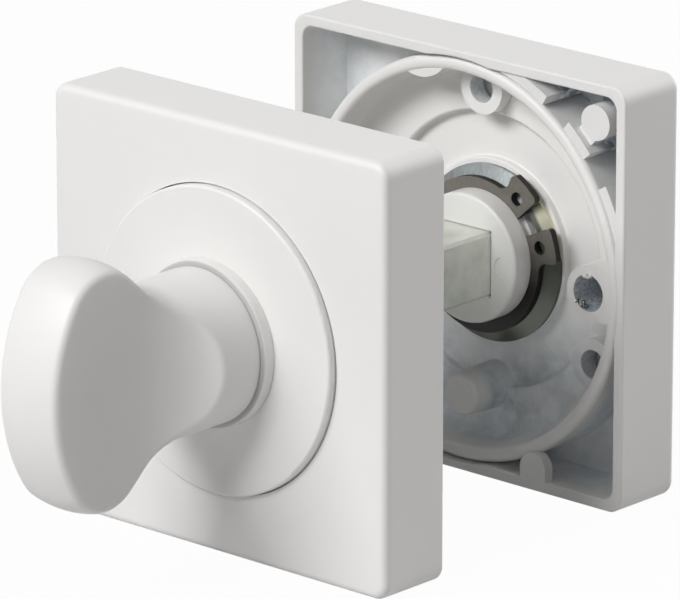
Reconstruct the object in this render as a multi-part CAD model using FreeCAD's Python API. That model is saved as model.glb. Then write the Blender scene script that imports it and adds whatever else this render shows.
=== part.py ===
import FreeCAD, Part
import math
import os

from FreeCAD import Vector

# Bathroom thumb turn lock: two square die cast roses that face each other across a door,
# a thumb turn on the inside one, a coin slot release on the outside one, and the square
# spindle that joins them. Millimetres. Y is the turning axis, the thumb turn points to -Y,
# Z is up, and the origin is on the axis at the door face of the inside rose.

# Roses and the door between them
rose_width = 52.0
rose_depth = 10.0
door_gap = 31.5

# Cover casting
cover_wall = 1.4
cover_thin_wall = 0.95
cover_plate = 2.0
cover_corner_r = 2.0
cover_front_r = 1.0
cover_rim_r = 0.3
cover_mouth_r = 0.25
pocket_corner_r = 1.6
rib_standoff = 0.25
rib_thickness = 1.3
rib_setback = 0.4
rib_middle_deg = 10.0
rib_gap_deg = 9.0
post_dia = 4.3
post_inset = 5.0
post_setback = 0.6
web_width = 2.6
web_setback = 1.4
tongue_width = 3.9
tongue_height = 3.3
tongue_offset = 12.3
tongue_depth = 1.4

# Round base casting inside the cover
base_clearance = 0.2
base_setback = 0.5
ring_width = 1.7
ring_draft = 0.55
ring_crest_r = 0.8
ring_root_r = 2.4
flange_thickness = 1.6
disc_wall = 1.4
disc_proud = 1.05
disc_clearance = 0.15
disc_edge_r = 0.35
dish_dia = 34.0
dish_floor = 3.3
dish_lip_r = 0.4
boss_dia = 22.5
boss_height = 1.0
boss_edge_r = 0.2
boss_foot_r = 0.15

# Fixing holes and posts of the base
screw_inset = 2.75
screw_hole_dia = 3.6
screw_boss_wall = 1.4
screw_boss_height = 1.9
screw_head_dia = 5.4
screw_sink_depth = 1.1
screw_count = 3
bolt_inset = 3.15
bolt_hole_dia = 4.5
bolt_boss_wall = 1.05
bolt_boss_setback = 0.3
bolt_head_dia = 5.6
bolt_sink_depth = 1.2
bolt_count = 2
stop_post_dia = 5.8
stop_post_taper = 0.35
stop_post_edge_r = 0.7
stop_post_setback = 0.3
pad_radius = 5.0
pad_depth = 0.95
pad_angle = 104.0

# Hub, washer and retaining clip
hub_dia = 16.0
hub_end_r = 0.4
hub_stub = 2.85
ejector_mark_dia = 2.6
ejector_mark_depth = 0.15
bearing_clearance = 0.05
end_float = 0.05
washer_width = 1.85
washer_thickness = 0.5
washer_rise = 0.75
washer_clearance = 1.1
washer_drop = 0.35
clip_thickness = 1.0
clip_groove_depth = 0.4
clip_groove_play = 0.05
clip_fit = 0.02
clip_back_width = 2.5
clip_horn_width = 1.4
clip_lug_height = 3.9
clip_lug_deg = 22.0
clip_gap_deg = 17.0
clip_hole_dia = 1.7
clip_eye_height = 1.65
clip_lug_r = 0.6
clip_shoulder_r = 1.3
clip_facing_deg = 34.5

# Square spindle
spindle_side = 8.0
spindle_fit = 0.05
spindle_edge = 0.35
spindle_point_length = 0.9
spindle_point_taper = 1.8
spindle_tip_room = 1.0
socket_depth = 17.6
release_socket_depth = 7.0
socket_mouth = 0.2

# Thumb turn
collar_dia = 19.9
collar_height = 1.55
collar_edge_r = 0.35
neck_dia = 18.6
neck_length = 11.35
flank_angle = 40.3
turn_reach = 31.6
crown_radius = 21.5
waist_r = 7.5
shoulder_r = 6.2
grip_thickness = 9.0
grip_flat_length = 14.4
scoop_radius = 10.0
grip_edge_r = 1.0

# Coin slot release
release_height = 2.6
release_edge_r = 0.7
slot_width = 2.0
slot_depth = 1.5
slot_length = 14.0

# Sizes and depths that follow, with depth counted from the door face of a rose
half_width = rose_width / 2
pocket_half = half_width - cover_wall
relief_radius = half_width - cover_thin_wall
base_radius = relief_radius - base_clearance
ring_inner = base_radius - ring_width
plate_depth = rose_depth - cover_plate
flange_depth = plate_depth - flange_thickness
dish_radius = dish_dia / 2
disc_radius = dish_radius + disc_wall
disc_depth = rose_depth + disc_proud
dish_depth = disc_depth - dish_floor
screw_pitch = ring_inner - screw_inset
bolt_pitch = ring_inner - bolt_inset
hub_radius = hub_dia / 2
bore_radius = hub_radius + bearing_clearance
washer_inner = hub_radius + washer_clearance
washer_outer = washer_inner + washer_width
boss_radius = boss_dia / 2
boss_depth = dish_depth - boss_height
washer_top = boss_depth - washer_thickness - washer_rise
clip_bottom = washer_top - end_float
clip_top = clip_bottom - clip_thickness
hub_end = clip_top - hub_stub
groove_radius = hub_radius - clip_groove_depth
shoulder_depth = disc_depth + end_float
socket_half = spindle_side / 2 + spindle_fit
neck_radius = neck_dia / 2
collar_top = shoulder_depth + collar_height
waist_depth = collar_top + neck_length
crown_depth = rose_depth + turn_reach

ORIGIN = Vector(0, 0, 0)
AXIS = Vector(0, 1, 0)
UPRIGHT = Vector(0, 0, 1)
FULL_TURN = 360.0
QUARTER_TURN = 90.0
HALF_TURN = 180.0
OVERCUT = 1.0
SAME_PLACE = 0.01


def rounded_face(corners):
    # A face in the XY plane from corner points (x, y, radius), each rounded by its radius.
    points = [Vector(x, y, 0) for x, y, radius in corners]
    stretches = []
    for index, corner in enumerate(points):
        radius = corners[index][2]
        if radius == 0:
            stretches.append((corner, None, corner))
            continue
        back = (points[index - 1] - corner).normalize()
        ahead = (points[(index + 1) % len(points)] - corner).normalize()
        half_angle = back.getAngle(ahead) / 2
        reach = radius / math.tan(half_angle)
        inward = (back + ahead).normalize()
        middle = corner + inward * (radius / math.sin(half_angle) - radius)
        stretches.append((corner + back * reach, middle, corner + ahead * reach))
    edges = []
    for index, (start, middle, end) in enumerate(stretches):
        if middle:
            edges.append(Part.Arc(start, middle, end).toShape())
        following = stretches[(index + 1) % len(stretches)][0]
        edges.append(Part.LineSegment(end, following).toShape())
    return Part.Face(Part.Wire(edges))


def turned(corners):
    # A body of revolution about the turning axis from (radius, depth, corner radius) points.
    return rounded_face(corners).revolve(ORIGIN, AXIS, FULL_TURN)


def rod(radius, x, z, start, end):
    # A round rod that lies along the turning axis.
    return Part.makeCylinder(radius, end - start, Vector(x, start, z), AXIS)


def countersink(hole_radius, head_radius, depth, x, z):
    # The cone that lets a screw head into the front of the base.
    return Part.makeCone(hole_radius, head_radius, depth, Vector(x, plate_depth - depth, z), AXIS)


def square_rod(half_side, start, end):
    # A square bar that lies along the turning axis.
    side = 2 * half_side
    return Part.makeBox(side, end - start, side, Vector(-half_side, start, -half_side))


def along_axis(edge):
    # True for a straight edge that runs along the turning axis.
    first, last = edge.Vertexes[0].Point, edge.Vertexes[-1].Point
    return first.x == last.x and first.z == last.z


def off_axis(edge):
    # How far the start of an edge lies from the turning axis.
    return math.hypot(edge.Vertexes[0].X, edge.Vertexes[0].Z)


def rounded_square(half_side, corner_radius, start, end):
    # A square bar with its four long edges rounded.
    bar = square_rod(half_side, start, end)
    long_edges = [edge for edge in bar.Edges if along_axis(edge)]
    return bar.makeFillet(corner_radius, long_edges)


def edges_at_depth(shape, depth):
    # The edges of a shape that lie in one plane across the turning axis.
    flat = [edge for edge in shape.Edges if edge.BoundBox.YLength < SAME_PLACE]
    return [edge for edge in flat if abs(edge.BoundBox.YMin - depth) < SAME_PLACE]


def spun(shape, degrees):
    # A copy of a shape, turned about the turning axis from +X towards +Z.
    copy = shape.copy()
    copy.rotate(ORIGIN, AXIS, -degrees)
    return copy


def sector(radius, start_deg, end_deg, start, end):
    # A pie slice about the turning axis between two angles.
    slice_shape = Part.makeCylinder(radius, end - start, Vector(0, start, 0), AXIS, end_deg - start_deg)
    first_edge_deg = spun_start_deg(slice_shape, radius)
    return spun(slice_shape, start_deg - first_edge_deg)


def spun_start_deg(slice_shape, radius):
    # The lowest angle, from +X towards +Z, that a raw pie slice reaches.
    rim = [edge for edge in slice_shape.Edges if edge.Curve.TypeId == "Part::GeomCircle"]
    ends = [vertex.Point for vertex in rim[0].Vertexes]
    middle = rim[0].valueAt((rim[0].FirstParameter + rim[0].LastParameter) / 2)
    middle_deg = math.degrees(math.atan2(middle.z, middle.x))
    spans = [(math.degrees(math.atan2(p.z, p.x)) - middle_deg + HALF_TURN) % FULL_TURN for p in ends]
    return middle_deg + min(spans) - HALF_TURN


def mouth_edges(cup):
    # The inner edges of the cup's rim.
    reach = half_width - cover_rim_r
    rim = edges_at_depth(cup, 0)
    return [edge for edge in rim if max(abs(edge.CenterOfMass.x), abs(edge.CenterOfMass.z)) < reach]


# Cover: a square cup with a round window for the base disc
def make_cover():
    body = rounded_square(half_width, cover_corner_r, 0, rose_depth)
    body = body.makeFillet(cover_front_r, edges_at_depth(body, rose_depth))
    body = body.makeFillet(cover_rim_r, edges_at_depth(body, 0))
    pocket = rounded_square(pocket_half, pocket_corner_r, -OVERCUT, plate_depth)
    relief = rod(relief_radius, 0, 0, -OVERCUT, plate_depth)
    window = rod(disc_radius + disc_clearance, 0, 0, 0, rose_depth + OVERCUT)
    cup = body.cut([pocket, relief, window])
    cup = cup.makeFillet(cover_mouth_r, mouth_edges(cup))

    # Arc ribs in one corner that centre the base, with the round ejector post behind them
    rib_inner = relief_radius + rib_standoff
    rib_outer = rib_inner + rib_thickness
    ribs = rod(rib_outer, 0, 0, rib_setback, rose_depth - cover_front_r)
    ribs = ribs.cut(rod(rib_inner, 0, 0, 0, rose_depth))
    ribs = ribs.common(sector(half_width + rib_outer, 0, QUARTER_TURN, 0, rose_depth))
    ribs = ribs.common(square_rod(half_width - cover_thin_wall, 0, rose_depth))
    corner_deg = QUARTER_TURN / 2
    for side in (-1, 1):
        gap_middle = corner_deg + side * (rib_middle_deg + rib_gap_deg) / 2
        gap = sector(rose_width, gap_middle - rib_gap_deg / 2, gap_middle + rib_gap_deg / 2, 0, plate_depth)
        ribs = ribs.cut(gap)
    post_place = half_width - post_inset
    post = rod(post_dia / 2, post_place, post_place, post_setback, rose_depth - cover_front_r)
    web_length = math.hypot(post_place, post_place) - rib_inner
    web_depth = rose_depth - cover_front_r - web_setback
    web = Part.makeBox(web_length, web_depth, web_width, Vector(rib_inner, web_setback, -web_width / 2))
    web = spun(web, corner_deg).cut(rod(rib_inner + rib_thickness / 2, 0, 0, 0, rose_depth))

    # Half round tongue on the bottom wall, level with the rim
    crest = -pocket_half + tongue_height - tongue_width / 2
    tongue = rod(tongue_width / 2, tongue_offset, crest, 0, tongue_depth)
    stem_height = crest + half_width - cover_thin_wall
    stem_corner = Vector(tongue_offset - tongue_width / 2, 0, -half_width + cover_thin_wall)
    stem = Part.makeBox(tongue_width, tongue_depth, stem_height, stem_corner)
    return cup.fuse([ribs, post, web, tongue, stem]).removeSplitter()


# Base: a turned dish with a rim, a raised front disc and the bearing boss for the hub
def make_base():
    dish = turned([
        (bore_radius, disc_depth, 0),
        (disc_radius, disc_depth, disc_edge_r),
        (disc_radius, plate_depth, 0),
        (base_radius, plate_depth, 0),
        (base_radius, base_setback, ring_crest_r),
        (ring_inner, base_setback, ring_crest_r),
        (ring_inner - ring_draft, flange_depth, ring_root_r),
        (dish_radius, flange_depth, dish_lip_r),
        (dish_radius, dish_depth, dish_lip_r),
        (boss_radius, dish_depth, boss_foot_r),
        (boss_radius, boss_depth, boss_edge_r),
        (bore_radius, boss_depth, 0),
    ])
    inside = rod(base_radius - ring_width / 2, 0, 0, 0, plate_depth)
    solids = []
    holes = []

    # Wood screw holes on low bosses, sunk from the front for the screw heads
    screw_radius = screw_hole_dia / 2
    for index in range(screw_count):
        angle = math.radians(QUARTER_TURN + index * FULL_TURN / screw_count)
        x, z = screw_pitch * math.cos(angle), screw_pitch * math.sin(angle)
        boss_start = flange_depth - screw_boss_height
        solids.append(rod(screw_radius + screw_boss_wall, x, z, boss_start, plate_depth))
        holes.append(rod(screw_radius, x, z, 0, plate_depth))
        holes.append(countersink(screw_radius, screw_head_dia / 2, screw_sink_depth, x, z))

    # Bolt bosses that run out into the rim, sunk from the front in the same way
    bolt_radius = bolt_hole_dia / 2
    for index in range(bolt_count):
        angle = math.radians(index * FULL_TURN / bolt_count)
        x, z = bolt_pitch * math.cos(angle), bolt_pitch * math.sin(angle)
        boss_start = base_setback + bolt_boss_setback
        boss_reach = bolt_radius + bolt_boss_wall
        solids.append(rod(boss_reach, x, z, boss_start, plate_depth))
        web_corner = Vector(bolt_pitch, boss_start, -boss_reach)
        web_length = base_radius - bolt_pitch
        web = Part.makeBox(web_length, plate_depth - boss_start, 2 * boss_reach, web_corner)
        solids.append(spun(web, math.degrees(angle)))
        holes.append(rod(bolt_radius, x, z, 0, plate_depth))
        holes.append(countersink(bolt_radius, bolt_head_dia / 2, bolt_sink_depth, x, z))

    # Solid tapered stop post below the hub, and the ejector pad on the rim
    post_start = base_setback + stop_post_setback
    post_foot = Vector(0, post_start, -dish_radius)
    post_radius = stop_post_dia / 2
    post_length = plate_depth - post_start
    post = Part.makeCone(post_radius - stop_post_taper, post_radius, post_length, post_foot, AXIS)
    solids.append(post.makeFillet(stop_post_edge_r, edges_at_depth(post, post_start)))
    pad_centre = ring_inner - pad_depth + pad_radius
    pad_turn = math.radians(pad_angle)
    pad_x, pad_z = pad_centre * math.cos(pad_turn), pad_centre * math.sin(pad_turn)
    solids.append(rod(pad_radius, pad_x, pad_z, post_start, plate_depth))

    added = solids[0].fuse(solids[1:]).common(inside)
    return dish.fuse(added).cut(holes).removeSplitter()


# Conical spring washer between the base and the retaining clip, hung loose on the hub
def make_washer():
    washer = turned([
        (washer_inner, washer_top, 0),
        (washer_inner, washer_top + washer_thickness, 0),
        (washer_outer, boss_depth, 0),
        (washer_outer, boss_depth - washer_thickness, 0),
    ])
    washer.translate(UPRIGHT * -washer_drop)
    return washer


# Retaining clip: a stamped ring, widest at its back, with two eyed lugs at its gap
def make_clip():
    bore = groove_radius + clip_fit
    ring_radius = bore + (clip_back_width + clip_horn_width) / 2
    offset = (clip_back_width - clip_horn_width) / 2
    plate = rod(ring_radius, -offset, 0, clip_top, clip_bottom)
    lug_outer = hub_radius + clip_lug_height
    eye_radius = hub_radius + clip_eye_height
    eyes = []
    for side in (-1, 1):
        inner_deg = clip_gap_deg / 2
        outer_deg = inner_deg + clip_lug_deg
        start_deg, end_deg = sorted((side * inner_deg, side * outer_deg))
        lug = sector(lug_outer, start_deg, end_deg, clip_top, clip_bottom)
        lug = lug.cut(rod(hub_radius, 0, 0, 0, rose_depth))
        upright_edges = [edge for edge in lug.Edges if along_axis(edge)]
        far_edges = [edge for edge in upright_edges if off_axis(edge) > eye_radius]
        plate = plate.fuse(lug.makeFillet(clip_lug_r, far_edges))
        eye = math.radians(side * (inner_deg + outer_deg) / 2)
        eye_x, eye_z = eye_radius * math.cos(eye), eye_radius * math.sin(eye)
        eyes.append(rod(clip_hole_dia / 2, eye_x, eye_z, 0, rose_depth))
    upright_edges = [edge for edge in plate.Edges if along_axis(edge)]
    shoulders = [edge for edge in upright_edges if hub_radius < off_axis(edge) < eye_radius]
    plate = plate.makeFillet(clip_shoulder_r, shoulders)
    gap = sector(rose_width, -clip_gap_deg / 2, clip_gap_deg / 2, 0, rose_depth)
    clip = plate.cut([rod(bore, 0, 0, 0, rose_depth), gap] + eyes).removeSplitter()
    return spun(clip, clip_facing_deg)


def hub_corners():
    # The shaft that runs in the base, with the groove for the clip, up to its front shoulder.
    groove_top = clip_top - clip_groove_play
    groove_bottom = clip_bottom + clip_groove_play
    return [
        (0, hub_end, 0),
        (hub_radius, hub_end, hub_end_r),
        (hub_radius, groove_top, 0),
        (groove_radius, groove_top, 0),
        (groove_radius, groove_bottom, 0),
        (hub_radius, groove_bottom, 0),
        (hub_radius, shoulder_depth, 0),
        (collar_dia / 2, shoulder_depth, 0),
    ]


def eased_mouth(hub):
    # The hub with the edges of its square socket chamfered.
    mouth = [edge for edge in edges_at_depth(hub, hub_end) if edge.Curve.TypeId == "Part::GeomLine"]
    return hub.makeChamfer(socket_mouth, mouth)


# Thumb turn: hub, collar, neck and a flared crowned head cut to two flat scooped sides
def make_thumb_turn():
    hub = turned(hub_corners() + [
        (collar_dia / 2, collar_top, collar_edge_r),
        (0, collar_top, 0),
    ])
    slope = math.tan(math.radians(flank_angle))
    crown_centre = crown_depth - crown_radius
    rise = waist_depth - crown_centre
    # The flank r = neck_radius + slope * t meets the crown sphere t past the waist
    square_term = 1 + slope ** 2
    linear_term = 2 * (neck_radius * slope + rise)
    constant_term = neck_radius ** 2 + rise ** 2 - crown_radius ** 2
    root = math.sqrt(linear_term ** 2 - 4 * square_term * constant_term)
    past_waist = (root - linear_term) / (2 * square_term)
    brow = Vector(neck_radius + slope * past_waist, waist_depth + past_waist, 0)
    crown = Vector(0, crown_depth, 0)
    half_turn_to_brow = math.atan2(brow.x, brow.y - crown_centre) / 2
    crown_mid_x = crown_radius * math.sin(half_turn_to_brow)
    crown_mid_y = crown_centre + crown_radius * math.cos(half_turn_to_brow)
    foot = Vector(0, shoulder_depth, 0)
    neck_foot = Vector(neck_radius, shoulder_depth, 0)
    waist = Vector(neck_radius, waist_depth, 0)
    outline = Part.Wire([
        Part.LineSegment(foot, neck_foot).toShape(),
        Part.LineSegment(neck_foot, waist).toShape(),
        Part.LineSegment(waist, brow).toShape(),
        Part.Arc(brow, Vector(crown_mid_x, crown_mid_y, 0), crown).toShape(),
        Part.LineSegment(crown, foot).toShape(),
    ])
    head = Part.Face(outline).revolve(ORIGIN, AXIS, FULL_TURN)
    head = head.makeFillet(waist_r, edges_at_depth(head, waist.y))
    head = head.makeFillet(shoulder_r, edges_at_depth(head, brow.y))

    # Two flats, each run out on the neck by a scoop
    flat = grip_thickness / 2
    flat_end = crown_depth - grip_flat_length
    scoop_middle = scoop_radius * math.cos(math.radians(QUARTER_TURN / 2))
    scoop_start = Vector(flat, flat_end, -rose_width)
    scoop_via = Vector(flat + scoop_radius - scoop_middle, flat_end - scoop_middle, -rose_width)
    scoop_end = Vector(flat + scoop_radius, flat_end - scoop_radius, -rose_width)
    far_low = Vector(rose_width, flat_end - scoop_radius, -rose_width)
    far_high = Vector(rose_width, crown_depth + OVERCUT, -rose_width)
    flat_high = Vector(flat, crown_depth + OVERCUT, -rose_width)
    cutter_outline = Part.Wire([
        Part.Arc(scoop_start, scoop_via, scoop_end).toShape(),
        Part.LineSegment(scoop_end, far_low).toShape(),
        Part.LineSegment(far_low, far_high).toShape(),
        Part.LineSegment(far_high, flat_high).toShape(),
        Part.LineSegment(flat_high, scoop_start).toShape(),
    ])
    cutter = Part.Face(cutter_outline).extrude(UPRIGHT * (2 * rose_width))
    other_cutter = cutter.mirror(ORIGIN, Vector(1, 0, 0))
    grip = head.cut([cutter, other_cutter])
    side_faces = [face for face in grip.Faces if is_side_face(face, flat, flat_end)]
    side_edges = outer_edges_of(side_faces)
    grip = grip.makeFillet(grip_edge_r, side_edges)
    socket = square_rod(socket_half, hub_end - OVERCUT, hub_end + socket_depth)
    return eased_mouth(grip.fuse(hub).cut(socket).removeSplitter())


def is_side_face(face, flat, flat_end):
    # True for the flats and the scoops that run out of them.
    u_start, u_end, v_start, v_end = face.ParameterRange
    middle = face.valueAt((u_start + u_end) / 2, (v_start + v_end) / 2)
    if face.Surface.TypeId == "Part::GeomPlane":
        return abs(abs(middle.x) - flat) < SAME_PLACE
    if face.Surface.TypeId != "Part::GeomCylinder":
        return False
    return abs(face.Surface.Axis.z) > 1 - SAME_PLACE and middle.y < flat_end


def outer_edges_of(faces):
    # The edges that only one of the given faces has.
    edges = []
    for face in faces:
        others = [other for other in faces if not other.isSame(face)]
        shared = [edge for other in others for edge in other.Edges]
        edges += [edge for edge in face.Edges if not any(edge.isSame(match) for match in shared)]
    return edges


# Coin slot release: the same hub under a low round head with a slot across it
def make_release():
    release_top = shoulder_depth + release_height
    body = turned(hub_corners() + [
        (collar_dia / 2, release_top, release_edge_r),
        (0, release_top, 0),
    ])
    slot_floor = release_top - slot_depth
    slot_half = slot_length / 2 - slot_width / 2
    slot_corner = Vector(-slot_half, slot_floor, -slot_width / 2)
    slot = Part.makeBox(2 * slot_half, slot_depth + OVERCUT, slot_width, slot_corner)
    for side in (-1, 1):
        slot = slot.fuse(rod(slot_width / 2, side * slot_half, 0, slot_floor, release_top + OVERCUT))
    socket = square_rod(socket_half, hub_end - OVERCUT, hub_end + release_socket_depth)

    # Round ejector mark on the end of the hub, midway between the socket and the rim
    mark_place = (socket_half + hub_radius) / 2
    mark = rod(ejector_mark_dia / 2, mark_place, 0, hub_end - OVERCUT, hub_end + ejector_mark_depth)
    return eased_mouth(body.cut([slot, socket, mark]).removeSplitter())


# Spindle: a square bar that is staked in the release and slides in the thumb turn
def make_spindle():
    tip = -(hub_end + socket_depth - spindle_tip_room)
    tail = door_gap + hub_end + release_socket_depth
    bar = square_rod(spindle_side / 2, tip, tail)
    bar = bar.makeChamfer(spindle_edge, [edge for edge in bar.Edges if along_axis(edge)])
    reach = spindle_side / math.sqrt(2)
    pointed = turned([
        (0, tip, 0),
        (reach - spindle_point_taper, tip, 0),
        (reach, tip + spindle_point_length, 0),
        (reach, tail, 0),
        (0, tail, 0),
    ])
    return bar.common(pointed)


def on_inside(shape):
    # Turned to face into the room, with its door face at the origin.
    copy = shape.copy()
    copy.rotate(ORIGIN, UPRIGHT, HALF_TURN)
    return copy


def on_outside(shape):
    # Set across the door, with its door face at the far side of the gap.
    copy = shape.copy()
    copy.translate(AXIS * door_gap)
    return copy


cover = make_cover()
base = make_base()
washer = make_washer()
clip = make_clip()

pieces = {
    "inside_cover": on_inside(cover),
    "inside_base": on_inside(base),
    "inside_washer": on_inside(washer),
    "inside_circlip": on_inside(clip),
    "thumb_turn": on_inside(make_thumb_turn()),
    "outside_cover": on_outside(cover),
    "outside_base": on_outside(base),
    "outside_washer": on_outside(washer),
    "outside_circlip": on_outside(clip),
    "release_turn": on_outside(make_release()),
    "spindle": make_spindle(),
}

os.makedirs("parts", exist_ok=True)
for name, shape in pieces.items():
    shape.exportStep("parts/" + name + ".step")
    print(name, shape.ShapeType, len(shape.Solids), shape.isValid(), round(shape.Volume, 1))
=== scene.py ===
import math

import bpy
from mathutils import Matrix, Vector


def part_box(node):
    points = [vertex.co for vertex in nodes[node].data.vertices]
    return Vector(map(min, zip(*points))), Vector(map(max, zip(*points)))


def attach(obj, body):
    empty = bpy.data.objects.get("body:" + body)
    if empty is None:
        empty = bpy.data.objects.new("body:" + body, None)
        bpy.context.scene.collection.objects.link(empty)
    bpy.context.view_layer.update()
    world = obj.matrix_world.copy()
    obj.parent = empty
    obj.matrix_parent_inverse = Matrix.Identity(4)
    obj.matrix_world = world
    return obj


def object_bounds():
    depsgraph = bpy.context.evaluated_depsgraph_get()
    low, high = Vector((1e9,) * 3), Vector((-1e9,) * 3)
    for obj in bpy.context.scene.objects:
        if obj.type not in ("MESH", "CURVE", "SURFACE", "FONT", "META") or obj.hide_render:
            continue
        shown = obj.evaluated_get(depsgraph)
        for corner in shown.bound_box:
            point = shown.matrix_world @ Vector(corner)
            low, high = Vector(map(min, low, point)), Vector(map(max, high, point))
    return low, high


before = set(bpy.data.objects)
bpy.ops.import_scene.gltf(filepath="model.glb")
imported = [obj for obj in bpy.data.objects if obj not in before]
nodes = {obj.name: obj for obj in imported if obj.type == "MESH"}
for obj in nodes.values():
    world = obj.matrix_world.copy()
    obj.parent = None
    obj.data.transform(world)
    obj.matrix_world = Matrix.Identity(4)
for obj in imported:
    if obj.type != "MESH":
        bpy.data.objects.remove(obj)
cad_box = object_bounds()
MM = 0.001


# The view: from the room side, a little above and to the right of the thumb turn,
# through a long lens, with the whole lock filling the picture.
PHOTO_WIDTH = 680
PHOTO_FOCAL_PIXELS = 7462.9
SENSOR_WIDTH = 36.0
view_azimuth = math.radians(42.155)
view_elevation = math.radians(17.396)
view_centre = Vector((0.97, 10.0, 0.406)) * MM
view_distance = 870.8 * MM

view_back = Vector((
    math.sin(view_azimuth) * math.cos(view_elevation),
    -math.cos(view_azimuth) * math.cos(view_elevation),
    math.sin(view_elevation),
))
camera_data = bpy.data.cameras.new("view")
camera_data.sensor_width = SENSOR_WIDTH
camera_data.sensor_fit = "HORIZONTAL"
camera_data.lens = PHOTO_FOCAL_PIXELS / PHOTO_WIDTH * SENSOR_WIDTH
camera = bpy.data.objects.new("view", camera_data)
camera.location = view_centre + view_back * view_distance
camera.rotation_mode = "QUATERNION"
camera.rotation_quaternion = view_back.to_track_quat("Z", "Y")
bpy.context.scene.collection.objects.link(camera)
bpy.context.scene.camera = camera


# Thumb turn: one zinc die casting, polished smooth and powder coated satin white. The hub
# behind it runs in the inside base and is held there by a circlip.
COAT_WHITE = (0.80, 0.792, 0.778, 1.0)
COAT_SHADE = (0.775, 0.768, 0.756, 1.0)
COAT_ROUGHNESS = 0.46
COAT_UNEVEN = 0.04
COAT_CLOUD_SCALE = 140.0
COAT_PEEL_SCALE = 850.0
COAT_PEEL_HEIGHT = 0.004 * MM
COAT_GRAIN_SCALE = 5200.0
COAT_GRAIN_HEIGHT = 0.0015 * MM


def new_finish(name):
    # A material with one shader, ready for its nodes.
    finish = bpy.data.materials.new(name)
    finish.use_nodes = True
    return finish, finish.node_tree, finish.node_tree.nodes["Principled BSDF"]


def feed(tree, socket, value):
    # Joins a socket to another node, or gives it a plain value.
    if isinstance(value, bpy.types.NodeSocket):
        tree.links.new(value, socket)
    else:
        socket.default_value = value


def put(tree, kind, sockets, **settings):
    # A node with its settings, and each named input fed.
    node = tree.nodes.new(kind)
    for key, value in settings.items():
        setattr(node, key, value)
    for key, value in sockets.items():
        feed(tree, node.inputs[key], value)
    return node


def reckon(tree, operation, first, second=0.0):
    # One step of arithmetic on a pattern.
    return put(tree, "ShaderNodeMath", {0: first, 1: second}, operation=operation).outputs[0]


def fade(tree, value, start, end):
    # 0 up to start, 1 from end on, and smooth between them.
    sockets = {"Value": value, "From Min": start, "From Max": end}
    eased = put(tree, "ShaderNodeMapRange", sockets, interpolation_type="SMOOTHSTEP")
    return eased.outputs["Result"]


def spread(tree, value, low, high):
    # Stretches a 0 to 1 pattern over another range.
    sockets = {"Value": value, "To Min": low, "To Max": high}
    return put(tree, "ShaderNodeMapRange", sockets).outputs["Result"]


def tint(tree, factor, first, second):
    # One colour where the pattern is 0, the other where it is 1.
    mix = put(tree, "ShaderNodeMix", {0: factor, 6: first, 7: second}, data_type="RGBA")
    return mix.outputs[2]


def grain(tree, place, scale, detail=3.0, roughness=0.55):
    # A cloudy pattern of that many waves to a metre.
    sockets = {"Vector": place, "Scale": scale, "Detail": detail, "Roughness": roughness}
    return put(tree, "ShaderNodeTexNoise", sockets).outputs["Fac"]


def relief(tree, height, distance, under=None):
    # Bumps of that height, on top of any others.
    sockets = {"Height": height, "Distance": distance, "Strength": 1.0}
    if under:
        sockets["Normal"] = under
    return put(tree, "ShaderNodeBump", sockets).outputs["Normal"]


def on_the_piece(tree):
    # Where a point is in the lock, whole and split into X, Y and Z.
    place = put(tree, "ShaderNodeTexCoord", {}).outputs["Object"]
    return place, put(tree, "ShaderNodeSeparateXYZ", {0: place}).outputs


def flat_length(tree, parts):
    # How far a point is from an axis along Y, from its X and Z parts.
    flat = put(tree, "ShaderNodeCombineXYZ", parts).outputs[0]
    return put(tree, "ShaderNodeVectorMath", {0: flat}, operation="LENGTH").outputs["Value"]


def coat_relief(tree, place):
    # The slight orange peel of a sprayed coat and the fine tooth of its satin surface.
    peel = relief(tree, grain(tree, place, COAT_PEEL_SCALE, 2.0), COAT_PEEL_HEIGHT)
    return relief(tree, grain(tree, place, COAT_GRAIN_SCALE, 2.0), COAT_GRAIN_HEIGHT, peel)


def satin_coat(name):
    # White powder coat that covers a piece all over.
    finish, tree, shader = new_finish(name)
    place = on_the_piece(tree)[0]
    cloud = grain(tree, place, COAT_CLOUD_SCALE)
    feed(tree, shader.inputs["Base Color"], tint(tree, cloud, COAT_SHADE, COAT_WHITE))
    rough = spread(tree, cloud, COAT_ROUGHNESS - COAT_UNEVEN, COAT_ROUGHNESS + COAT_UNEVEN)
    feed(tree, shader.inputs["Roughness"], rough)
    feed(tree, shader.inputs["Normal"], coat_relief(tree, place))
    return finish


def dress(name, finish):
    # Gives a solid its finish.
    for slot in nodes[name].material_slots:
        slot.material = finish


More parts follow.
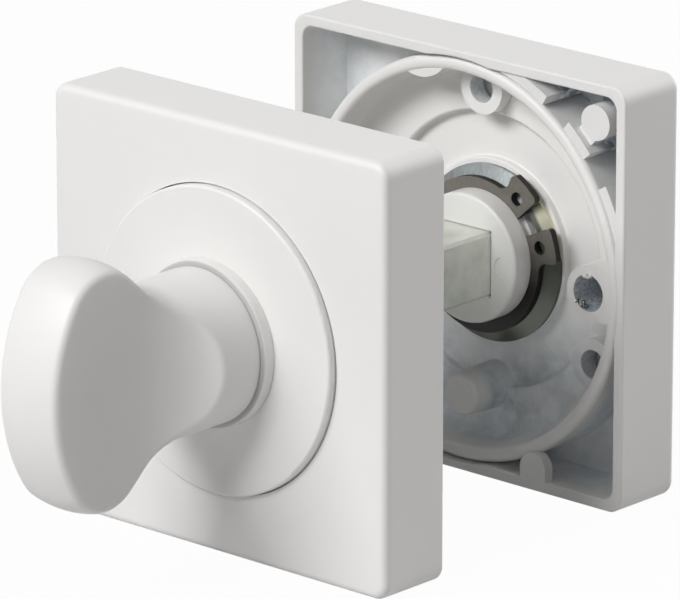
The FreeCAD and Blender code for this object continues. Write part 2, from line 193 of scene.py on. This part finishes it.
def turn_finish(name, shade_near, shade_far):
    # The satin coat, with a painted shade ring where the neck runs into its collar, for the shadow
    # in that corner.
    finish = satin_coat(name)
    tree = finish.node_tree
    shader = tree.nodes["Principled BSDF"]
    place, (x, y, z) = on_the_piece(tree)
    colour = shader.inputs["Base Color"].links[0].from_socket
    # Painted shade: a grey ring where the neck meets the collar, which also dims the lit front of
    # the collar.
    past = fade(tree, y, shade_near - PAINTED_SHADE_BLUR, shade_near)
    short = fade(tree, y, shade_far + PAINTED_SHADE_BLUR, shade_far)
    inner = fade(tree, flat_length(tree, {"X": x, "Z": z}), PAINTED_SHADE_RADIUS + PAINTED_SHADE_BLUR, PAINTED_SHADE_RADIUS)
    painted_collar_shade = reckon(tree, "MULTIPLY", reckon(tree, "MULTIPLY", past, short), inner)
    feed(tree, shader.inputs["Base Color"], tint(tree, painted_collar_shade, colour, COLLAR_PAINTED_SHADE))

    # The middle of the crown is shaded as the sphere that it is, without the pinch of its mesh.
    sockets = {0: place, 1: crown_centre}
    outward = put(tree, "ShaderNodeVectorMath", sockets, operation="SUBTRACT").outputs[0]
    to_world = {"vector_type": "NORMAL", "convert_from": "OBJECT", "convert_to": "WORLD"}
    facing = put(tree, "ShaderNodeVectorTransform", {"Vector": outward}, **to_world).outputs[0]
    middle = fade(tree, flat_length(tree, {"X": x, "Z": z}), CROWN_MIDDLE, CROWN_MIDDLE / 2)
    head = fade(tree, y, crown_centre.y, crown_centre.y - CROWN_RADIUS / 2)
    middle = reckon(tree, "MULTIPLY", middle, head)
    coated = shader.inputs["Normal"].links[0].from_socket
    sockets = {0: middle, 4: coated, 5: facing}
    normal = put(tree, "ShaderNodeMix", sockets, data_type="VECTOR").outputs[1]
    feed(tree, shader.inputs["Normal"], normal)
    return finish


# The painted shade ring at the top of the collar, and where it lies.
COLLAR_PAINTED_SHADE = (0.46, 0.455, 0.45, 1.0)
PAINTED_SHADE_RADIUS = 9.75 * MM
PAINTED_SHADE_BLUR = 0.25 * MM
PAINTED_SHADE_ABOVE = 0.05 * MM
PAINTED_SHADE_BELOW = 0.1 * MM
COLLAR_TOP = 12.65 * MM
CROWN_RADIUS = 21.5 * MM
CROWN_MIDDLE = 4.0 * MM
crown_centre = Vector((0.0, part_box("thumb_turn")[0].y + CROWN_RADIUS, 0.0))
turn_coat = satin_coat("turn_coat")
shade_near, shade_far = -COLLAR_TOP - PAINTED_SHADE_ABOVE, -COLLAR_TOP + PAINTED_SHADE_BELOW
dress("thumb_turn", turn_finish("thumb_turn_coat", shade_near, shade_far))


# Coin slot release: the same casting and coat on the far side, with a hub of its own that
# takes the end of the spindle.
dress("release_turn", turn_coat)


# Square covers: zinc die cast cups, powder coated outside and over the rim. Little of the spray
# reaches into the cup, so the bluish grey of the bare casting shows through there. The inside of
# the cup is also painted paler and bluer than the coat, as painted fill light and cool shade, and
# more so on the ribbed side.
CASTING_GREY = (0.70, 0.745, 0.785, 1.0)
CASTING_DARK = (0.29, 0.335, 0.38, 1.0)
# Paler than the coat: bare casting and painted fill light in the cup.
CUP_PALE_AND_FILL = (0.90, 0.925, 0.945, 1.0)
CUP_SHADE = (0.76, 0.80, 0.83, 1.0)
CUP_MISSED = (0.32, 0.37, 0.415, 1.0)
CASTING_ROUGHNESS = 0.45
CASTING_SHEEN = 0.2
CUP_WALL_INNER = 25.1 * MM
CUP_WALL_OUTER = 25.5 * MM
SPRAY_START = 0.5 * MM
SPRAY_END = 4.5 * MM
PLATE_INNER = 8.3 * MM
PLATE_OUTER = 9.0 * MM
SPRAY_CLOUD_SCALE = 260.0
SPRAY_THICK = 0.25
SPRAY_THIN = 0.6
LEAST_THIN_SIDE = 0.75
LEAST_THIN_PATCH = 0.45
BARE_SIDE_START = -22.0 * MM
BARE_SIDE_END = 20.0 * MM
RIB_CORNER_START = 20.0 * MM
RIB_CORNER_END = 27.0 * MM
MISSED_SCALE = 420.0
MISSED_LOW = 0.42
MISSED_HIGH = 0.49
CASTING_GRAIN_SCALE = 2600.0
CASTING_SMEAR_SCALE = 300.0
CASTING_GRAIN_HEIGHT = 0.02 * MM
MOTTLE_LOW = 0.35
MOTTLE_HIGH = 0.65
CAST_SKIN = 0.15


def depth_in_rose(tree, across, door_face, points_out):
    # How far a point lies from the door face of its rose.
    if points_out:
        return reckon(tree, "SUBTRACT", across, door_face)
    return reckon(tree, "SUBTRACT", door_face, across)


def coat_over_casting(tree, shader, place, bare, rough, dark, grey, sheen):
    # Coat and casting, mixed where the coat is thin or missing.
    cloud = grain(tree, place, COAT_CLOUD_SCALE)
    white = tint(tree, cloud, COAT_SHADE, COAT_WHITE)
    speck = grain(tree, place, CASTING_GRAIN_SCALE, 4.0)
    smear = fade(tree, grain(tree, place, CASTING_SMEAR_SCALE), MOTTLE_LOW, MOTTLE_HIGH)
    pits = fade(tree, speck, MOTTLE_LOW, MOTTLE_HIGH)
    mottle = put(tree, "ShaderNodeMix", {0: rough, 2: smear, 3: pits}).outputs[0]
    grey = tint(tree, mottle, dark, grey)
    feed(tree, shader.inputs["Base Color"], tint(tree, bare, white, grey))
    feed(tree, shader.inputs["Metallic"], reckon(tree, "MULTIPLY", bare, sheen))
    feed(tree, shader.inputs["Roughness"], spread(tree, bare, COAT_ROUGHNESS, CASTING_ROUGHNESS))
    pitted = reckon(tree, "MULTIPLY", speck, reckon(tree, "MULTIPLY", bare, rough))
    normal = relief(tree, pitted, CASTING_GRAIN_HEIGHT, coat_relief(tree, place))
    feed(tree, shader.inputs["Normal"], normal)


def cup_coat(name, door_face, points_out):
    # The finish of a cover, with its thin coat inside the cup, painted paler and bluer there as
    # painted fill light and shade.
    finish, tree, shader = new_finish(name)
    place, (x, y, z) = on_the_piece(tree)
    depth = depth_in_rose(tree, y, door_face, points_out)
    reach = reckon(tree, "MAXIMUM", reckon(tree, "ABSOLUTE", x), reckon(tree, "ABSOLUTE", z))
    in_cup = fade(tree, reach, CUP_WALL_OUTER, CUP_WALL_INNER)
    past_rim = fade(tree, depth, SPRAY_START, SPRAY_END)
    behind_plate = fade(tree, depth, PLATE_OUTER, PLATE_INNER)
    hidden = reckon(tree, "MULTIPLY", reckon(tree, "MULTIPLY", in_cup, past_rim), behind_plate)
    spray = grain(tree, place, SPRAY_CLOUD_SCALE, 4.0)
    patchy = fade(tree, spray, SPRAY_THICK, SPRAY_THIN)
    # Painted shade: the bare share, with its paler bluer colour, grows towards the ribbed side,
    # where the cup lies in shade.
    ribbed_side = x if points_out else reckon(tree, "MULTIPLY", x, -1.0)
    shaded_side = fade(tree, ribbed_side, BARE_SIDE_START, BARE_SIDE_END)
    thin = reckon(tree, "MULTIPLY", hidden, spread(tree, shaded_side, LEAST_THIN_SIDE, 1.0))
    thin = reckon(tree, "MULTIPLY", thin, spread(tree, patchy, LEAST_THIN_PATCH, 1.0))
    corner = fade(tree, reckon(tree, "ADD", ribbed_side, z), RIB_CORNER_START, RIB_CORNER_END)
    missed = fade(tree, grain(tree, place, MISSED_SCALE, 4.0), MISSED_LOW, MISSED_HIGH)
    missed = reckon(tree, "MULTIPLY", reckon(tree, "MULTIPLY", missed, corner), hidden)
    bare = reckon(tree, "MAXIMUM", thin, missed)
    dark = tint(tree, missed, CUP_SHADE, CUP_MISSED)
    pale = tint(tree, missed, CUP_PALE_AND_FILL, CUP_MISSED)
    coat_over_casting(tree, shader, place, bare, CAST_SKIN, dark, pale, 0.0)
    return finish


inside_door_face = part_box("inside_cover")[1].y
outside_door_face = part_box("outside_cover")[0].y
dress("inside_cover", cup_coat("inside_cup_coat", inside_door_face, False))
dress("outside_cover", cup_coat("outside_cup_coat", outside_door_face, True))


# Round bases: zinc die castings that sit in the covers and carry the hubs. They are coated like the
# covers, but the holes are bare. Low in the dish the coat is thin and mottled, and it is painted
# bluer there as painted shade, with a soft darker patch near the bottom.
BOLT_PITCH_RADIUS = 20.0 * MM
BOLT_BORE_INNER = 2.2 * MM
BOLT_BORE_OUTER = 2.4 * MM
BORE_BOTTOM = 7.9 * MM
THIN_COAT_AND_SHADE_TOP = -2.0 * MM
THIN_COAT_AND_SHADE_LOW = -15.0 * MM
LEAST_THIN_DISH = 0.6
LEAST_POOL = 0.35
DISH_PALE = (0.89, 0.925, 0.955, 1.0)
DISH_SHADE = (0.64, 0.69, 0.735, 1.0)
DISH_POOL = (0.25, 0.30, 0.345, 1.0)
SMUDGE_SCALE = 170.0
SMUDGE_LOW = 0.4
SMUDGE_HIGH = 0.64
EDGE_BLUR = 0.1 * MM
SCREW_PITCH_RADIUS = 20.4 * MM
SCREW_ANGLES = (90.0, 210.0, 330.0)
SCREW_BORE_INNER = 1.75 * MM
SCREW_BORE_OUTER = 1.85 * MM
SCREW_BORE_TOP = 4.6 * MM
POOL_X = 5.0 * MM
POOL_Z = -17.5 * MM
POOL_INNER = 1.0 * MM
POOL_OUTER = 7.0 * MM


def dish_coat(name, door_face, points_out):
    # The finish of a base, bare in its bolt holes, and thin and painted bluer as painted shade at
    # the bottom of its dish.
    finish, tree, shader = new_finish(name)
    place, (x, y, z) = on_the_piece(tree)
    depth = depth_in_rose(tree, y, door_face, points_out)
    aside = reckon(tree, "SUBTRACT", reckon(tree, "ABSOLUTE", x), BOLT_PITCH_RADIUS)
    bore = fade(tree, flat_length(tree, {"X": aside, "Z": z}), BOLT_BORE_OUTER, BOLT_BORE_INNER)
    within = fade(tree, depth, BORE_BOTTOM + EDGE_BLUR, BORE_BOTTOM)
    bore = reckon(tree, "MULTIPLY", bore, within)
    smudge = fade(tree, grain(tree, place, SMUDGE_SCALE, 4.0), SMUDGE_LOW, SMUDGE_HIGH)
    # Painted shade: the dish is painted bluer and mottled towards the bottom, where the other rose
    # shades it, along with its thin coat.
    low = fade(tree, z, THIN_COAT_AND_SHADE_TOP, THIN_COAT_AND_SHADE_LOW)
    sunk = fade(tree, depth, SPRAY_START + MM, SPRAY_END)
    thin = reckon(tree, "MULTIPLY", reckon(tree, "MULTIPLY", low, sunk), within)
    thin = reckon(tree, "MULTIPLY", thin, spread(tree, smudge, LEAST_THIN_DISH, 1.0))
    # A soft darker, bluer patch low in the dish.
    off_pool = {"X": reckon(tree, "SUBTRACT", x, POOL_X), "Z": reckon(tree, "SUBTRACT", z, POOL_Z)}
    pool_radius = flat_length(tree, off_pool)
    pool = reckon(tree, "MULTIPLY", fade(tree, pool_radius, POOL_OUTER, POOL_INNER), sunk)
    pool = reckon(tree, "MULTIPLY", pool, within)
    darker_patch = reckon(tree, "MULTIPLY", pool, spread(tree, smudge, LEAST_POOL, 1.0))
    thin = reckon(tree, "MAXIMUM", thin, darker_patch)
    for degrees in SCREW_ANGLES:
        angle = math.radians(degrees)
        off_screw = {
            "X": reckon(tree, "SUBTRACT", x, SCREW_PITCH_RADIUS * math.cos(angle)),
            "Z": reckon(tree, "SUBTRACT", z, SCREW_PITCH_RADIUS * math.sin(angle)),
        }
        screw_bore = fade(tree, flat_length(tree, off_screw), SCREW_BORE_OUTER, SCREW_BORE_INNER)
        below_top = fade(tree, depth, SCREW_BORE_TOP, SCREW_BORE_TOP + EDGE_BLUR)
        screw_bore = reckon(tree, "MULTIPLY", screw_bore, below_top)
        bore = reckon(tree, "MAXIMUM", bore, reckon(tree, "MULTIPLY", screw_bore, within))
    bare = reckon(tree, "MAXIMUM", bore, thin)
    drilled = spread(tree, bore, CAST_SKIN, 1.0)
    dark = tint(tree, bore, tint(tree, pool, DISH_SHADE, DISH_POOL), CASTING_DARK)
    pale = tint(tree, bore, tint(tree, pool, DISH_PALE, DISH_SHADE), CASTING_GREY)
    sheen = reckon(tree, "MULTIPLY", bore, CASTING_SHEEN)
    coat_over_casting(tree, shader, place, bare, drilled, dark, pale, sheen)
    return finish


dress("inside_base", dish_coat("inside_dish_coat", inside_door_face, False))
dress("outside_base", dish_coat("outside_dish_coat", outside_door_face, True))


# Swarf: a few chips that the drill left on the wall of the outside bolt hole, and a torn burr
# of coat at its upper edge. Both are strewn along an arc of the hole by one rule.
BOLT_HOLE_FACE = outside_door_face + 0.8 * MM
CHIP_BRIGHT = (0.62, 0.63, 0.62, 1.0)
CHIP_DARK = (0.05, 0.05, 0.05, 1.0)
CHIP_PATTERN_SCALE = 4200.0
CHIP_METALLIC = 0.5
CHIP_ROUGHNESS = 0.35
CHIP_THINNEST = 0.35


def chance(tree, low, high, seed):
    # A number between low and high for each chip, the same at every run.
    sockets = {2: low, 3: high, "Seed": seed}
    return put(tree, "FunctionNodeRandomValue", sockets, data_type="FLOAT").outputs[1]


def chance_triple(tree, low, high, seed):
    # Three numbers between low and high for each chip, the same at every run.
    sockets = {0: (low, low, low), 1: (high, high, high), "Seed": seed}
    return put(tree, "FunctionNodeRandomValue", sockets, data_type="FLOAT_VECTOR").outputs[0]


def strewn_chips(name, finish, sizes):
    # Chips strewn along an arc of a hole that lies along Y.
    tree = bpy.data.node_groups.new(name, "GeometryNodeTree")
    tree.interface.new_socket("Geometry", in_out="OUTPUT", socket_type="NodeSocketGeometry")
    for label, value in sizes.items():
        kind = "NodeSocketInt" if isinstance(value, int) else "NodeSocketFloat"
        tree.interface.new_socket(label, in_out="INPUT", socket_type=kind)
    given = tree.nodes.new("NodeGroupInput").outputs
    angle = chance(tree, given["Arc start"], given["Arc end"], 11)
    radius = chance(tree, given["Inner radius"], given["Outer radius"], 12)
    across = reckon(tree, "MULTIPLY", radius, reckon(tree, "COSINE", angle))
    height = reckon(tree, "MULTIPLY", radius, reckon(tree, "SINE", angle))
    sockets = {
        "X": reckon(tree, "ADD", across, given["Hole centre X"]),
        "Y": chance(tree, given["Nearest Y"], given["Farthest Y"], 13),
        "Z": height,
    }
    spot = put(tree, "ShaderNodeCombineXYZ", sockets).outputs[0]
    points = put(tree, "GeometryNodePoints", {"Count": given["Count"], "Position": spot}).outputs[0]
    chip = put(tree, "GeometryNodeMeshIcoSphere", {"Radius": 0.5, "Subdivisions": 1}).outputs[0]
    stretch = chance_triple(tree, CHIP_THINNEST, 1.0, 14)
    sockets = {0: stretch, "Scale": given["Chip size"]}
    scale = put(tree, "ShaderNodeVectorMath", sockets, operation="SCALE").outputs[0]
    lie = chance_triple(tree, 0.0, math.pi, 15)
    sockets = {"Points": points, "Instance": chip, "Scale": scale, "Rotation": lie}
    strewn = put(tree, "GeometryNodeInstanceOnPoints", sockets).outputs[0]
    solid = put(tree, "GeometryNodeRealizeInstances", {0: strewn}).outputs[0]
    sockets = {"Geometry": solid, "Material": finish}
    dressed = put(tree, "GeometryNodeSetMaterial", sockets).outputs[0]
    tree.links.new(dressed, tree.nodes.new("NodeGroupOutput").inputs[0])

    chips = bpy.data.objects.new(name, bpy.data.meshes.new(name))
    bpy.context.scene.collection.objects.link(chips)
    modifier = chips.modifiers.new(name, "NODES")
    modifier.node_group = tree
    for socket in tree.interface.items_tree:
        if socket.in_out == "INPUT":
            modifier[socket.identifier] = sizes[socket.name]
    graph = bpy.context.evaluated_depsgraph_get()
    made = bpy.data.meshes.new_from_object(chips.evaluated_get(graph), depsgraph=graph)
    chips.modifiers.clear()
    chips.data = made
    return chips


chip_finish, chip_tree, chip_shader = new_finish("chip_metal")
chip_place = on_the_piece(chip_tree)[0]
chip_mix = fade(chip_tree, grain(chip_tree, chip_place, CHIP_PATTERN_SCALE, 1.0), 0.4, 0.6)
feed(chip_tree, chip_shader.inputs["Base Color"], tint(chip_tree, chip_mix, CHIP_DARK, CHIP_BRIGHT))
chip_shader.inputs["Metallic"].default_value = CHIP_METALLIC
chip_shader.inputs["Roughness"].default_value = CHIP_ROUGHNESS

bolt_swarf = strewn_chips("bolt_swarf", chip_finish, {
    "Count": 22,
    "Chip size": 0.75 * MM,
    "Hole centre X": BOLT_PITCH_RADIUS,
    "Inner radius": 1.8 * MM,
    "Outer radius": 2.3 * MM,
    "Arc start": math.radians(212.0),
    "Arc end": math.radians(246.0),
    "Nearest Y": BOLT_HOLE_FACE,
    "Farthest Y": BOLT_HOLE_FACE + 0.8 * MM,
})
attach(bolt_swarf, "outside_half")

bolt_burr = strewn_chips("bolt_burr", turn_coat, {
    "Count": 14,
    "Chip size": 0.7 * MM,
    "Hole centre X": BOLT_PITCH_RADIUS,
    "Inner radius": 1.9 * MM,
    "Outer radius": 2.4 * MM,
    "Arc start": math.radians(72.0),
    "Arc end": math.radians(116.0),
    "Nearest Y": BOLT_HOLE_FACE - 0.05 * MM,
    "Farthest Y": BOLT_HOLE_FACE + 0.15 * MM,
})
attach(bolt_burr, "outside_half")


# Washers: dished rings stamped from zinc plated strip, with the fine lines of the rolled strip
# still on them. They are painted bright above and dark below as a painted reflection of what faces
# them, with a painted yellow glint between the clip's lugs, and the circlip runs on them.
PLATE_BRIGHT = (0.36, 0.39, 0.40, 1.0)
PLATE_STREAK_AND_REFLECTION_DARK = (0.105, 0.112, 0.096, 1.0)
PLATE_PAINTED_GLINT = (0.66, 0.64, 0.50, 1.0)
DARK_REFLECTION_TOP = 9.0 * MM
DARK_REFLECTION_LOW = 3.0 * MM
DARK_REFLECTION_CLOUD_SCALE = 420.0
DARK_REFLECTION_WANDER = 1.5 * MM
WASHER_METALLIC = 0.85
WASHER_ROUGHNESS = 0.3
ROLLED_LINE_SCALE = 2600.0
ROLLED_LINE_STRETCH = 0.03
ROLLED_LINE_HEIGHT = 0.004 * MM
CLIP_FACING = math.radians(34.5)
GLINT_START = 9.3 * MM
GLINT_END = 9.7 * MM


def drawn_lines(tree, place, scale, stretch):
    # A pattern drawn out into long fine lines along one direction.
    drawn = put(tree, "ShaderNodeMapping", {"Vector": place, "Scale": stretch}).outputs["Vector"]
    return grain(tree, drawn, scale, 2.0)


def plated_strip(name, side):
    # Zinc plate on rolled steel, painted dark below as a painted reflection, and with a painted
    # yellow glint where the clip's gap leaves it open.
    finish, tree, shader = new_finish(name)
    place, (x, y, z) = on_the_piece(tree)
    lines = drawn_lines(tree, place, ROLLED_LINE_SCALE, (1.0, 1.0, ROLLED_LINE_STRETCH))
    # Painted reflection: the plate is darker towards the bottom, with a wandering edge, where it
    # faces dark surroundings.
    cloud = grain(tree, place, DARK_REFLECTION_CLOUD_SCALE)
    height = reckon(tree, "ADD", z, spread(tree, cloud, -DARK_REFLECTION_WANDER, DARK_REFLECTION_WANDER))
    painted_dark_reflection = fade(tree, height, DARK_REFLECTION_TOP, DARK_REFLECTION_LOW)
    streaked = tint(tree, spread(tree, lines, -0.1, 0.75), PLATE_BRIGHT, PLATE_STREAK_AND_REFLECTION_DARK)
    plate = tint(tree, painted_dark_reflection, streaked, PLATE_STREAK_AND_REFLECTION_DARK)
    facing = (side * math.cos(CLIP_FACING), 0.0, math.sin(CLIP_FACING))
    sockets = {0: place, 1: facing}
    out = put(tree, "ShaderNodeVectorMath", sockets, operation="DOT_PRODUCT").outputs["Value"]
    # Painted glint: a pale yellow spot on the plate between the clip's lugs.
    patch = fade(tree, out, GLINT_START, GLINT_END)
    feed(tree, shader.inputs["Base Color"], tint(tree, patch, plate, PLATE_PAINTED_GLINT))
    shader.inputs["Metallic"].default_value = WASHER_METALLIC
    rough = spread(tree, lines, WASHER_ROUGHNESS - 0.06, WASHER_ROUGHNESS + 0.12)
    feed(tree, shader.inputs["Roughness"], rough)
    feed(tree, shader.inputs["Normal"], relief(tree, lines, ROLLED_LINE_HEIGHT))
    return finish


dress("inside_washer", plated_strip("inside_washer_plate", -1))
dress("outside_washer", plated_strip("outside_washer_plate", 1))


# Circlips: stamped from spring steel, tumbled and phosphated. The faces are rubbed to brown and the
# edges are left black, and the lower part is painted black as a painted dark reflection. They snap
# into the grooves of the hubs and hold them in the bases.
PHOSPHATE_BLACK = (0.012, 0.011, 0.010, 1.0)
PHOSPHATE_DARK = (0.095, 0.088, 0.078, 1.0)
PHOSPHATE_BROWN = (0.205, 0.19, 0.168, 1.0)
PHOSPHATE_ROUGHNESS = 0.42
PHOSPHATE_METALLIC = 0.5
PHOSPHATE_CRYSTAL_SCALE = 2400.0
PHOSPHATE_CLOUD_SCALE = 500.0
PHOSPHATE_HEIGHT = 0.005 * MM
RUBBED_DEPTH = 0.05 * MM
BLACK_DEPTH = 0.2 * MM
CLIP_PAINTED_DARK_TOP = 4.0 * MM
CLIP_PAINTED_DARK_LOW = -4.0 * MM


def phosphate(name, open_face, points_out):
    # Dark oiled crystals over steel, rubbed on the open face, and painted black towards the bottom
    # as a painted dark reflection.
    finish, tree, shader = new_finish(name)
    place, (x, y, z) = on_the_piece(tree)
    crystals = grain(tree, place, PHOSPHATE_CRYSTAL_SCALE, 4.0)
    cloud = spread(tree, grain(tree, place, PHOSPHATE_CLOUD_SCALE), 0.6, 1.5)
    patch = reckon(tree, "MULTIPLY", spread(tree, crystals, 0.4, 1.0), cloud)
    brown = tint(tree, patch, PHOSPHATE_DARK, PHOSPHATE_BROWN)
    depth = depth_in_rose(tree, y, open_face, points_out)
    below_face = fade(tree, depth, RUBBED_DEPTH, BLACK_DEPTH)
    # Painted reflection: black towards the bottom, where the clip faces dark surroundings.
    low = fade(tree, z, CLIP_PAINTED_DARK_TOP, CLIP_PAINTED_DARK_LOW)
    black_edges_and_painted_dark = reckon(tree, "MAXIMUM", below_face, low)
    feed(tree, shader.inputs["Base Color"], tint(tree, black_edges_and_painted_dark, brown, PHOSPHATE_BLACK))
    shader.inputs["Metallic"].default_value = PHOSPHATE_METALLIC
    rough = spread(tree, crystals, PHOSPHATE_ROUGHNESS - 0.1, PHOSPHATE_ROUGHNESS + 0.14)
    feed(tree, shader.inputs["Roughness"], rough)
    feed(tree, shader.inputs["Normal"], relief(tree, crystals, PHOSPHATE_HEIGHT))
    return finish


inside_clip_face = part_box("inside_circlip")[1].y
outside_clip_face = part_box("outside_circlip")[0].y
dress("inside_circlip", phosphate("inside_phosphate", inside_clip_face, False))
dress("outside_circlip", phosphate("outside_phosphate", outside_clip_face, True))


# Spindle: a bar of drawn square steel, zinc plated to a pale greenish grey. It is fast in the
# release and slides in the thumb turn.
SPINDLE_PALE = (0.85, 0.87, 0.81, 1.0)
SPINDLE_STAIN = (0.68, 0.72, 0.65, 1.0)
SPINDLE_ROUGHNESS = 0.4
SPINDLE_METALLIC = 0.65
STAIN_SCALE = 230.0
STAIN_LOW = 0.35
STAIN_HIGH = 0.7
DRAWN_LINE_SCALE = 1800.0
DRAWN_LINE_STRETCH = 0.04
DRAWN_LINE_HEIGHT = 0.004 * MM


def plated_bar(name):
    # Zinc plate over drawn steel, clouded where it was handled.
    finish, tree, shader = new_finish(name)
    place = on_the_piece(tree)[0]
    stain = fade(tree, grain(tree, place, STAIN_SCALE, 5.0), STAIN_LOW, STAIN_HIGH)
    lines = drawn_lines(tree, place, DRAWN_LINE_SCALE, (1.0, DRAWN_LINE_STRETCH, 1.0))
    feed(tree, shader.inputs["Base Color"], tint(tree, stain, SPINDLE_PALE, SPINDLE_STAIN))
    shader.inputs["Metallic"].default_value = SPINDLE_METALLIC
    rough = spread(tree, stain, SPINDLE_ROUGHNESS - 0.06, SPINDLE_ROUGHNESS + 0.1)
    feed(tree, shader.inputs["Roughness"], rough)
    feed(tree, shader.inputs["Normal"], relief(tree, lines, DRAWN_LINE_HEIGHT))
    return finish


dress("spindle", plated_bar("spindle_plate"))


# Studio: a white floor under the roses, a soft box in front, above the thumb turn, one behind,
# and weak ones overhead and at the right that open up the shadows.
FLOOR_HALF = 3.0
FLOOR_GAP = 0.02 * MM
FLOOR_BOUNCE = (0.55, 0.54, 0.535, 1.0)
FLOOR_ROUGHNESS = 0.9
FLOOR_GLOW = 0.97
PURE_WHITE = (1.0, 1.0, 1.0, 1.0)
WORLD_AMBIENT = 0.0
LAMP_DISTANCE = 0.9


def seen_or_mirrored(tree):
    # 1 for what the camera, a mirror or glass sees, 0 for what only lights the object.
    path = put(tree, "ShaderNodeLightPath", {}).outputs
    mirrored = reckon(tree, "MAXIMUM", path["Is Glossy Ray"], path["Is Transmission Ray"])
    return reckon(tree, "MAXIMUM", path["Is Camera Ray"], mirrored)


world = bpy.data.worlds.new("studio")
world.use_nodes = True
world_tree = world.node_tree
ambient = world_tree.nodes["Background"]
ambient.inputs["Strength"].default_value = WORLD_AMBIENT
ambient.inputs["Color"].default_value = PURE_WHITE
white = put(world_tree, "ShaderNodeBackground", {"Color": PURE_WHITE, "Strength": 1.0})
sockets = {0: seen_or_mirrored(world_tree), 1: ambient.outputs[0], 2: white.outputs[0]}
world_mix = put(world_tree, "ShaderNodeMixShader", sockets)
world_tree.links.new(world_mix.outputs[0], world_tree.nodes["World Output"].inputs["Surface"])
bpy.context.scene.world = world

floor_finish, floor_tree, floor_shader = new_finish("floor_white")
floor_shader.inputs["Base Color"].default_value = FLOOR_BOUNCE
floor_shader.inputs["Roughness"].default_value = FLOOR_ROUGHNESS
floor_glow = put(floor_tree, "ShaderNodeEmission", {"Color": PURE_WHITE, "Strength": 1.0})
glow_share = reckon(floor_tree, "MULTIPLY", seen_or_mirrored(floor_tree), FLOOR_GLOW)
floor_sockets = {0: glow_share, 1: floor_shader.outputs[0], 2: floor_glow.outputs[0]}
floor_mix = put(floor_tree, "ShaderNodeMixShader", floor_sockets)
floor_tree.links.new(floor_mix.outputs[0], floor_tree.nodes["Material Output"].inputs["Surface"])
floor_mesh = bpy.data.meshes.new("floor")
floor_level = cad_box[0].z - FLOOR_GAP
floor_signs = ((-1, -1), (1, -1), (1, 1), (-1, 1))
floor_corners = [(x * FLOOR_HALF, y * FLOOR_HALF, floor_level) for x, y in floor_signs]
floor_mesh.from_pydata(floor_corners, [], [(0, 1, 2, 3)])
floor_mesh.materials.append(floor_finish)
floor = bpy.data.objects.new("floor", floor_mesh)
bpy.context.scene.collection.objects.link(floor)


def soft_box(name, direction, width, height, power):
    # A flat lamp that faces the lock from that direction.
    lamp_data = bpy.data.lights.new(name, "AREA")
    lamp_data.shape = "RECTANGLE"
    lamp_data.size = width
    lamp_data.size_y = height
    lamp_data.energy = power
    lamp = bpy.data.objects.new(name, lamp_data)
    towards = Vector(direction).normalized()
    lamp.location = towards * LAMP_DISTANCE
    lamp.rotation_mode = "QUATERNION"
    lamp.rotation_quaternion = towards.to_track_quat("Z", "Y")
    bpy.context.scene.collection.objects.link(lamp)


soft_box("front_box", (-0.12, -0.78, 0.61), 0.6, 0.3, 7.4)
soft_box("top_box", (0.0, 0.1, 1.0), 0.6, 0.6, 1.4)
soft_box("back_box", (0.3, 0.9, 0.35), 0.7, 0.7, 5.5)
soft_box("side_box", (0.75, -0.6, 0.28), 0.6, 0.6, 0.55)

bpy.context.scene.view_settings.view_transform = "Standard"
